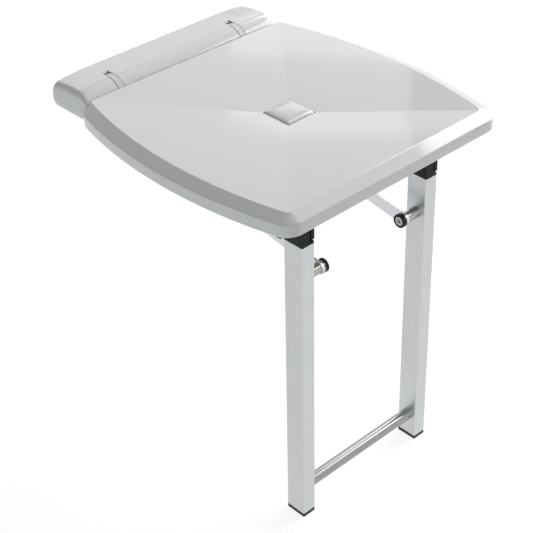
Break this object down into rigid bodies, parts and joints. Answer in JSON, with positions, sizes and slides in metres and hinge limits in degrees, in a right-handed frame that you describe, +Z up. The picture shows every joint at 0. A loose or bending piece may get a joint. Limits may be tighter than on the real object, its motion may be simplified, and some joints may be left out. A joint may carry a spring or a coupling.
{
  "type": "shower stool",
  "caption": "Wall-hung folding shower seat with a domed drain plug, a long hinge cover and two front legs that drop on parallel struts as the seat comes down.",
  "frame": {"origin": "middle of the rectangle of the four inner wall screw holes, on the wall face of the brackets", "axes": "+X along the wall to the sitter's left when seated facing away from the wall, +Y into the wall, +Z up"},
  "size_m": [0.402, 0.4395, 0.505],
  "materials": {
    "seat_plastic": "moulded gloss",
    "rail_coat": "white powder coat",
    "bracket_steel": "zinc plated",
    "leg_aluminium": "satin anodised",
    "crossbar_aluminium": "polished anodised",
    "strut_steel": "satin",
    "nickel_steel": "polished, nickel tone",
    "bright_steel": "bright",
    "black_plastic": "fine texture",
    "foot_rubber": "matt",
    "bush_nylon": "as moulded"
  },
  "bodies": {
    "wall_mount": {"wall_bracket_left": "bracket_steel", "wall_bracket_right": "bracket_steel", "bracket_cover": "seat_plastic", "cover_screws": "bright_steel", "seat_hinge_pin_left": "bright_steel", "seat_hinge_pin_right": "bright_steel", "seat_hinge_clips": "bright_steel", "strut_wall_pin_left": "bright_steel", "strut_wall_pin_right": "bright_steel", "strut_wall_clips": "bright_steel"},
    "seat": {"seat_shell": "seat_plastic", "drain_plug": "seat_plastic", "seat_rail_left": "rail_coat", "seat_rail_right": "rail_coat", "hinge_bush_left": "bush_nylon", "hinge_bush_right": "bush_nylon", "rail_screws": "bright_steel", "leg_bracket_left": "black_plastic", "leg_bracket_right": "black_plastic", "leg_bracket_bolts": "bright_steel"},
    "leg_frame": {"leg_tube_left": "leg_aluminium", "leg_tube_right": "leg_aluminium", "foot_left": "foot_rubber", "foot_right": "foot_rubber", "leg_knuckle_left": "black_plastic", "leg_knuckle_right": "black_plastic", "leg_pin_left": "bright_steel", "leg_pin_right": "bright_steel", "knuckle_washer_left": "bright_steel", "knuckle_washer_right": "bright_steel", "crossbar": "crossbar_aluminium", "strut_spacer_left": "nickel_steel", "strut_spacer_right": "nickel_steel", "strut_washer_left": "bright_steel", "strut_washer_right": "bright_steel", "pivot_cap_left": "black_plastic", "pivot_cap_right": "black_plastic", "pivot_screw_left": "nickel_steel", "pivot_screw_right": "nickel_steel", "clamp_nut_left": "bright_steel", "clamp_nut_right": "bright_steel"},
    "strut_left": {"strut_left": "strut_steel", "strut_rear_bush_left": "bush_nylon"},
    "strut_right": {"strut_right": "strut_steel", "strut_rear_bush_right": "bush_nylon"}
  },
  "joints": [
    {"name": "seat_fold", "type": "hinge", "parent": "wall_mount", "child": "seat", "pos_m": [0, -0.044, 0.031], "axis": [-1, 0, 0], "range_deg": [0, 90]},
    {"name": "leg_fold", "type": "hinge", "parent": "seat", "child": "leg_frame", "pos_m": [0, -0.3565, -0.022], "axis": [1, 0, 0], "range_deg": [0, 90]},
    {"name": "strut_left_swing", "type": "hinge", "parent": "wall_mount", "child": "strut_left", "pos_m": [-0.07385, -0.069, -0.031], "axis": [-1, 0, 0], "range_deg": [0, 90]},
    {"name": "strut_right_swing", "type": "hinge", "parent": "wall_mount", "child": "strut_right", "pos_m": [0.07385, -0.069, -0.031], "axis": [-1, 0, 0], "range_deg": [0, 90]}
  ],
  "couplings": [
    {"joint": "leg_fold", "follows": "seat_fold", "ratio": 1},
    {"joint": "strut_left_swing", "follows": "seat_fold", "ratio": 1},
    {"joint": "strut_right_swing", "follows": "seat_fold", "ratio": 1}
  ]
}
